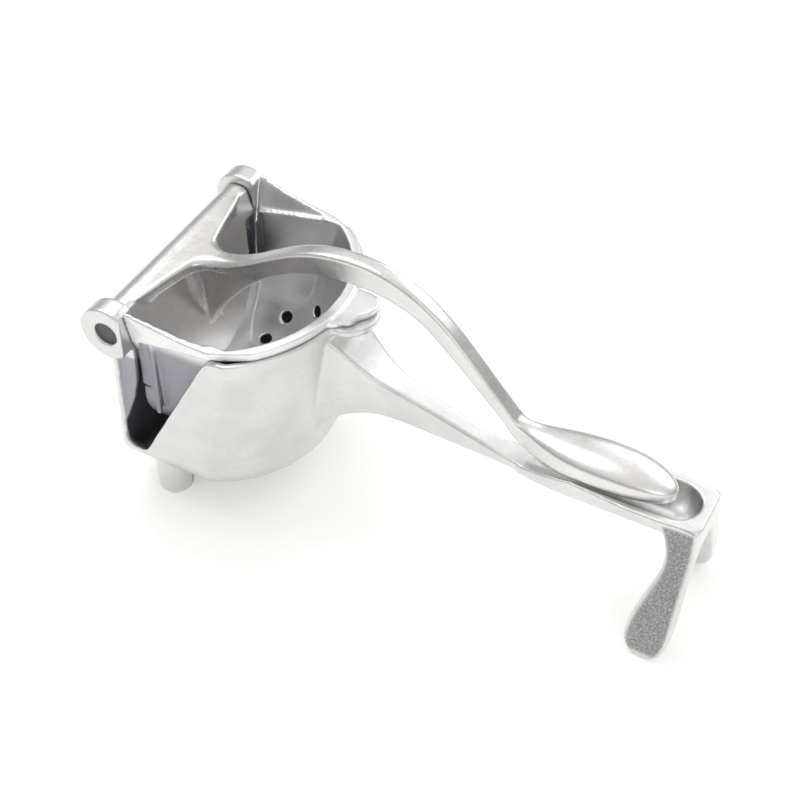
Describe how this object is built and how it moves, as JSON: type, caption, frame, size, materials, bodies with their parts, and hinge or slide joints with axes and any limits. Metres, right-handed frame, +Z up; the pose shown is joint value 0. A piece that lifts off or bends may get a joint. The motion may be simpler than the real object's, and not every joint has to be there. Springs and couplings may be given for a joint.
{
  "type": "hand juicer press",
  "caption": "Cast hand juicer press: a pot with side spouts on feet, a lift-out strainer, and a hinged lever with a palm grip over a fixed lower handle.",
  "frame": {"origin": "middle of the footprint box, on the ground plane the feet stand on", "axes": "+X from the hinge towards the palm grip and front legs, +Y to the left along the hinge axis, +Z up"},
  "size_m": [0.2396, 0.105, 0.1207],
  "materials": {
    "body_cast": "tumbled cast aluminium, satin, with sand-cast faces on the legs",
    "strainer_cast": "plain cast aluminium, satin",
    "lever_cast": "polished cast aluminium",
    "pin_steel": "dull steel"
  },
  "bodies": {
    "juicer_body": {"cup": "body_cast", "hinge_guard": "body_cast", "hinge_lug_left": "body_cast", "hinge_lug_right": "body_cast", "rear_foot_left": "body_cast", "rear_foot_right": "body_cast", "tab_ledge": "body_cast", "lower_handle": "body_cast", "handle_dish": "body_cast", "front_leg_left": "body_cast", "front_leg_right": "body_cast", "strainer": "strainer_cast", "hinge_pin": "pin_steel"},
    "lever": {"lever_barrel": "lever_cast", "lever_arm": "lever_cast", "arm_gusset": "lever_cast", "press_plate": "lever_cast", "palm_grip": "lever_cast"}
  },
  "joints": [
    {"name": "lever_hinge", "type": "hinge", "parent": "juicer_body", "child": "lever", "pos_m": [-0.10825, 0, 0.0902], "axis": [0, -1, 0], "range_deg": [0, 110]}
  ]
}
